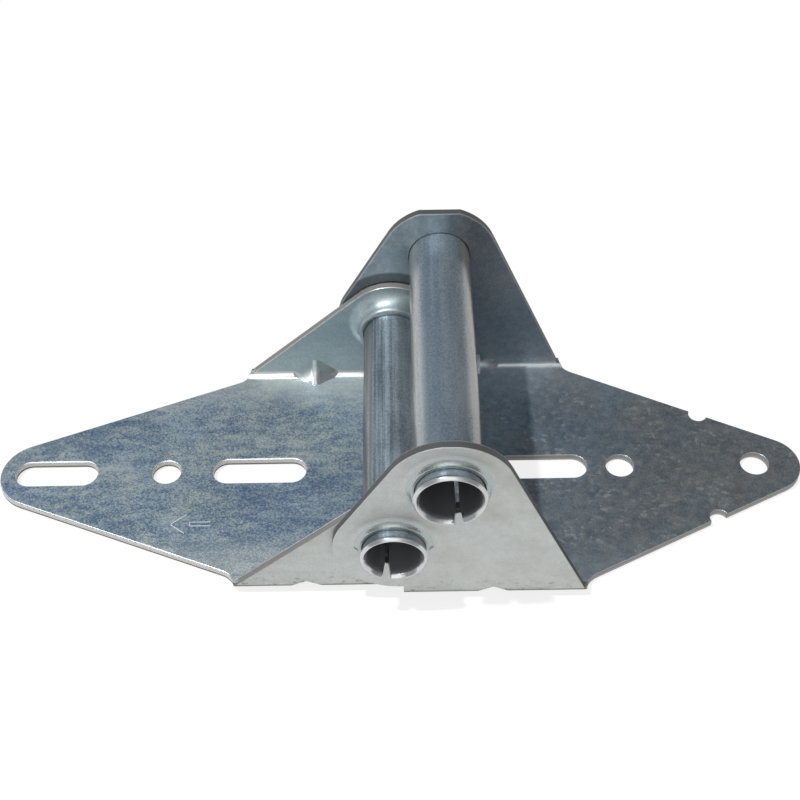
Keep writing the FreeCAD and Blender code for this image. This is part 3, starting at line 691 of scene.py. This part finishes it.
# A rolled edge lies near the inside of the sheet and below the ears
INSIDE_SHARE = 0.05
PLATE_TOP = 2.2

# Least slant of the sheet in the round of a bend, and of a dart's right flank
BEND_SLANT = 0.1
FLANK_SLANT = 0.3


def through_sheet(point, half):
    """Place through a folded channel, 0 on its inside and 1 on its outside, and the sheet's normal there."""
    out = max(abs(point.y) / MM - (half - BEND_OUTER), 0.0)
    down = max(BEND_OUTER - point.z / MM, 0.0)
    place = (math.hypot(out, down) - BEND_INNER) / SHEET
    return place, Vector((0.0, math.copysign(out, point.y), -down)).normalized()


def sheet_normal(edge, half):
    """Normal of the sheet at the middle of an edge."""
    return through_sheet(sum((vert.co for vert in edge.verts), Vector()) / 2, half)[1]


def on_cut_outline(edge, half):
    """Edge between a face of the sheet and a face cut through it."""
    normal = sheet_normal(edge, half)
    along = sorted(abs(face.normal.dot(normal)) for face in edge.link_faces)
    return along[0] < CUT_FACE and along[1] > SHEET_FACE


def is_rolled(edge, half):
    """Edge of a plate on the inside of the channel, which the punch rolled over."""
    return all(abs(through_sheet(vert.co, half)[0]) < INSIDE_SHARE and vert.co.z < PLATE_TOP * MM
               for vert in edge.verts)


def is_sharp(edge):
    return edge.is_manifold and edge.is_convex and edge.calc_face_angle() > SHARP_ANGLE


def is_crease(edge, half):
    """Edge where a pressed dart meets the round of a bend, or beside its right flank, which is crisp."""
    if not edge.is_manifold or edge.is_convex or edge.calc_face_angle() < CREASE_ANGLE:
        return False
    normal = sheet_normal(edge, half)
    in_bend = min(abs(normal.y), abs(normal.z)) > BEND_SLANT
    return in_bend or any(face.normal.x > FLANK_SLANT for face in edge.link_faces)


def marked_mesh(node, width, half, rolled_width):
    """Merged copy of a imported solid's mesh, with its rounds and creases marked on the edges."""
    mesh = frame["nodes"][node].data.copy()
    mesh.name = node + "_rounded"
    work = bmesh.new()
    work.from_mesh(mesh)
    bmesh.ops.remove_doubles(work, verts=work.verts, dist=MERGE_DISTANCE * MM)
    bmesh.ops.dissolve_limit(work, angle_limit=FLAT_ANGLE, verts=work.verts, edges=work.edges)
    weight = work.edges.layers.float.new("bevel_weight_edge")
    for edge in work.edges:
        if is_sharp(edge) and (not half or on_cut_outline(edge, half)):
            rolled = rolled_width and is_rolled(edge, half)
            edge[weight] = 1.0 if rolled else width / (rolled_width or width)
        if half and is_crease(edge, half):
            edge.smooth = False
    for face in work.faces:
        face.smooth = True
    work.to_mesh(mesh)
    work.free()
    mesh.materials.clear()
    mesh.materials.append(finishes[node])
    return mesh


def rounded_piece(node, width, half=None, rolled_width=None):
    """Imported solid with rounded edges, wider where the punch rolled the sheet over."""
    piece = bpy.data.objects.new(node + "_rounded", marked_mesh(node, width, half, rolled_width))
    bpy.context.scene.collection.objects.link(piece)
    bevel = piece.modifiers.new("rounded_edges", "BEVEL")
    bevel.limit_method = "WEIGHT"
    bevel.width = (rolled_width or width) * MM
    bevel.segments = ROUND_STEPS
    bevel.use_clamp_overlap = False
    bevel.loop_slide = False
    weighted = piece.modifiers.new("flat_faces", "WEIGHTED_NORMAL")
    weighted.mode = "FACE_AREA"
    weighted.weight = FACE_WEIGHT
    weighted.keep_sharp = True
    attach(piece, carriers[node])
    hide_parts(node)


rounded_piece("pivot_leaf", PLAIN_WIDTH, PIVOT_HALF, ROLLED_WIDTH)
rounded_piece("roller_leaf", PLAIN_WIDTH, ROLLER_HALF)
rounded_piece("roller_tube", TUBE_WIDTH)
rounded_piece("hinge_tube", TUBE_WIDTH)


# Stamped mark: a plain arrow that points to the tip of the pivot leaf

ARROW_POINT = (-53.0, -15.6)
ARROW_BARB = (3.4, 2.7)
SHAFT_START = 4.4
SHAFT_END = 9.2
SHAFT_HALF = 0.55
STROKE_WIDTH = 0.2
STROKE_HEIGHT = 0.04
# Pale bare metal of the stamped strokes, brightened to stand for their glints: partly painted highlight
STAMPED = opaque(0.85, 0.87, 0.88)
STAMPED_ROUGH = 0.3
STAMPED_METALLIC = 0.4


def arrow_strokes():
    """Start and end of each stroke, in the plane of the plate."""
    x, y = ARROW_POINT
    for side in (-1, 1):
        edge = y + side * SHAFT_HALF
        yield (x, y), (x + ARROW_BARB[0], y + side * ARROW_BARB[1])
        yield (x + SHAFT_START, edge), (x + SHAFT_END, edge)
    yield (x + SHAFT_START, y - SHAFT_HALF), (x + SHAFT_START, y + SHAFT_HALF)


def make_arrow():
    work = bmesh.new()
    for start, end in arrow_strokes():
        run = Vector(end) - Vector(start)
        middle = (Vector(start) + Vector(end)) / 2
        place = Matrix.Translation((middle.x * MM, middle.y * MM, SHEET * MM))
        turn = Matrix.Rotation(math.atan2(run.y, run.x), 4, "Z")
        size = Matrix.Diagonal((run.length * MM, STROKE_WIDTH * MM, STROKE_HEIGHT * MM, 1.0))
        bmesh.ops.create_cube(work, size=1.0, matrix=place @ turn @ size)
    mesh = bpy.data.meshes.new("stamped_arrow")
    work.to_mesh(mesh)
    work.free()
    material, _, shader = new_finish("stamped_metal", STAMPED_METALLIC)
    shader.inputs["Base Color"].default_value = STAMPED
    shader.inputs["Roughness"].default_value = STAMPED_ROUGH
    mesh.materials.append(material)
    piece = bpy.data.objects.new("stamped_arrow", mesh)
    bpy.context.scene.collection.objects.link(piece)
    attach(piece, carriers["pivot_leaf"])


make_arrow()


# Stage: white floor, plain surroundings, and one lamp from the upper left

FLOOR_HALF = 4.0
FLOOR_DROP = 0.2
FLOOR_COLOUR = opaque(0.97, 0.96, 0.95)
FLOOR_GLOW = 0.8


def make_floor():
    work = bmesh.new()
    bmesh.ops.create_grid(work, x_segments=1, y_segments=1, size=FLOOR_HALF)
    mesh = bpy.data.meshes.new("floor")
    work.to_mesh(mesh)
    work.free()
    floor = bpy.data.objects.new("floor", mesh)
    floor.location.z = -FLOOR_DROP * MM
    bpy.context.scene.collection.objects.link(floor)
    material = bpy.data.materials.new("white_floor")
    material.use_nodes = True
    tree = material.node_tree
    tree.nodes.remove(tree.nodes["Principled BSDF"])
    path = add_node(tree, "ShaderNodeLightPath").outputs
    mirrored = calc(tree, "MAXIMUM", path["Is Glossy Ray"], path["Is Transmission Ray"])
    seen = calc(tree, "MAXIMUM", path["Is Camera Ray"], mirrored)
    matt = add_node(tree, "ShaderNodeBsdfDiffuse", None, {"Color": FLOOR_COLOUR}).outputs[0]
    glow = add_node(tree, "ShaderNodeEmission", None, {"Color": WHITE, "Strength": 1.0}).outputs[0]
    sockets = {0: product(tree, seen, FLOOR_GLOW), 1: matt, 2: glow}
    mixed = add_node(tree, "ShaderNodeMixShader", None, sockets).outputs[0]
    tree.links.new(mixed, tree.nodes["Material Output"].inputs["Surface"])
    mesh.materials.append(material)


# Surroundings: colours behind the hinge from left to right, in front from the middle to the sides
BEHIND_LEFT = opaque(0.12, 0.165, 0.21)
BEHIND_RIGHT = opaque(0.139, 0.139, 0.135)
FRONT_MIDDLE = opaque(0.5, 0.51, 0.52)
FRONT_SIDES = opaque(0.1, 0.105, 0.11)
HORIZON = opaque(0.5, 0.5, 0.5)
HORIZON_SIDES = opaque(0.14, 0.14, 0.14)
SOFT_LIGHT = opaque(1.5, 1.52, 1.5)
SOFT_LIGHT_FROM = Vector((-0.1, -0.66, 0.75))
SOFT_LIGHT_EDGES = [math.cos(math.radians(angle)) for angle in (30.0, 12.0)]

# Parts of the direction's axes over which the colours change
ACROSS_SPAN = (-0.3, 0.4)
SIDES_SPAN = (0.35, 0.7)
FRONT_SPAN = (0.35, -0.35)
RISE_SPAN = (0.0, 0.3)


def make_surroundings():
    """World that is white to the camera, pale at the horizon, and brighter above the camera."""
    world = bpy.data.worlds.new("surroundings")
    bpy.context.scene.world = world
    world.use_nodes = True
    tree = world.node_tree
    direction = add_node(tree, "ShaderNodeTexCoord").outputs["Generated"]
    axes = split_axes(tree, direction)
    to_side = remap(tree, calc(tree, "ABSOLUTE", axes[0]), *SIDES_SPAN)
    in_front = remap(tree, axes[1], *FRONT_SPAN)
    behind = blend_colours(tree, remap(tree, axes[0], *ACROSS_SPAN), BEHIND_LEFT, BEHIND_RIGHT)
    front = blend_colours(tree, to_side, FRONT_MIDDLE, FRONT_SIDES)
    overhead = blend_colours(tree, in_front, behind, front)
    facing = vector_calc(tree, "DOT_PRODUCT", direction, SOFT_LIGHT_FROM.normalized())["Value"]
    overhead = blend_colours(tree, remap(tree, facing, *SOFT_LIGHT_EDGES), overhead, SOFT_LIGHT)
    horizon = blend_colours(tree, product(tree, to_side, in_front), HORIZON, HORIZON_SIDES)
    sky = blend_colours(tree, remap(tree, axes[2], *RISE_SPAN), horizon, overhead)
    seen = add_node(tree, "ShaderNodeLightPath").outputs["Is Camera Ray"]
    tree.links.new(blend_colours(tree, seen, sky, WHITE), tree.nodes["Background"].inputs["Color"])


LAMP_ENERGY = 2.6
LAMP_ANGLE = 2.0
LAMP_TRAVEL = Vector((0.37, 0.06, -0.92))


def make_lamp():
    lamp = bpy.data.lights.new("window", "SUN")
    lamp.energy = LAMP_ENERGY
    lamp.angle = math.radians(LAMP_ANGLE)
    holder = bpy.data.objects.new("window", lamp)
    holder.rotation_mode = "QUATERNION"
    holder.rotation_quaternion = LAMP_TRAVEL.to_track_quat("-Z", "Y")
    bpy.context.scene.collection.objects.link(holder)


def make_camera():
    lens = bpy.data.cameras.new("camera")
    lens.sensor_width = SENSOR
    lens.lens = SENSOR * FOCAL_PIXELS / FRAME_PIXELS
    lens.clip_start = NEAREST_SEEN * MM
    holder = bpy.data.objects.new("camera", lens)
    ahead = Vector((math.sin(YAW) * math.cos(PITCH), math.cos(YAW) * math.cos(PITCH), -math.sin(PITCH)))
    level = Vector((math.cos(YAW), -math.sin(YAW), 0.0))
    upright = level.cross(ahead)
    right = math.cos(ROLL) * level + math.sin(ROLL) * upright
    up = math.cos(ROLL) * upright - math.sin(ROLL) * level
    turn = Matrix((right, up, -ahead)).transposed()
    holder.matrix_world = Matrix.Translation(EYE) @ turn.to_4x4()
    bpy.context.scene.collection.objects.link(holder)
    bpy.context.scene.camera = holder


make_floor()
make_surroundings()
make_lamp()
make_camera()
bpy.context.scene.view_settings.view_transform = "Standard"
